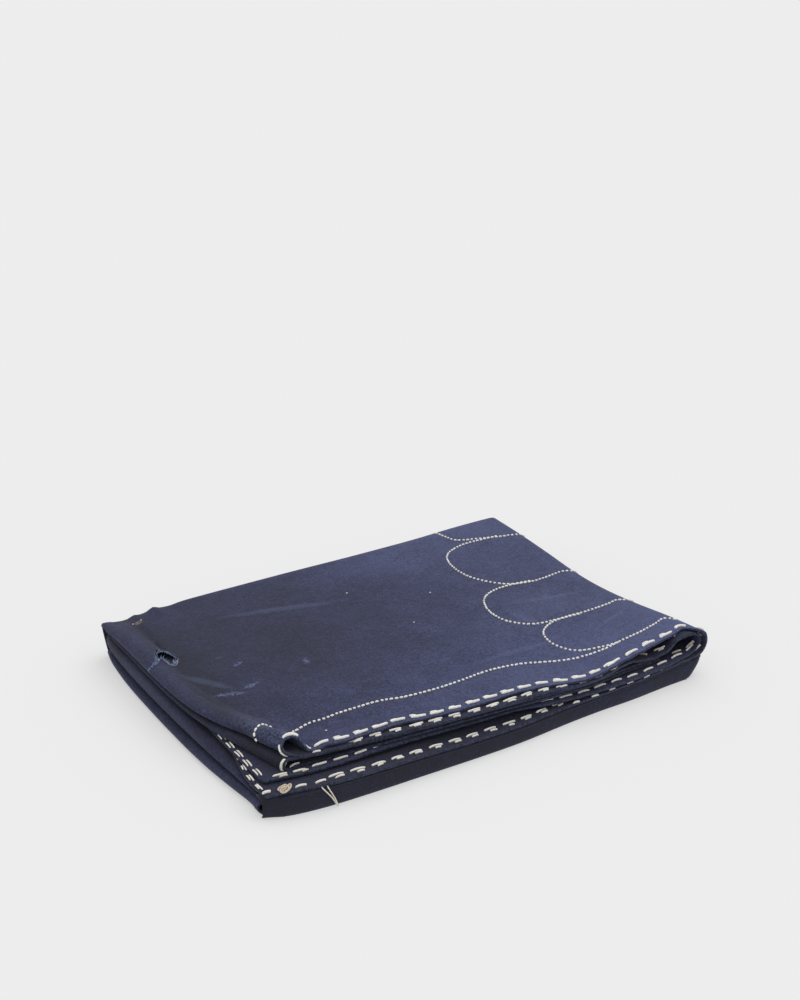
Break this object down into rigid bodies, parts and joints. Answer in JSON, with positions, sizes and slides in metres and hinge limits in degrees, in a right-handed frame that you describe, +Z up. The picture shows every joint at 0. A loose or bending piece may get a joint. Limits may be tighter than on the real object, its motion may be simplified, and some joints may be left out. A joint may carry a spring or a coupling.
{
  "type": "folded furoshiki",
  "caption": "Indigo cotton wrapping cloth folded flat in many layers, with white sashiko stitching and a stitched hem.",
  "frame": {"origin": "middle of the folded cloth's bounding box, at the surface it lies on", "axes": "+X runs along the layered front edge from the rolled left end to the looped right end, +Y runs from that front edge to the closed back fold, and +Z points up from the surface"},
  "size_m": [0.3654, 0.2666, 0.0366],
  "materials": {
    "indigo_cotton": "matte worn indigo-dyed cotton"
  },
  "bodies": {
    "root": {"folded_cloth": "indigo_cotton"}
  },
  "joints": []
}
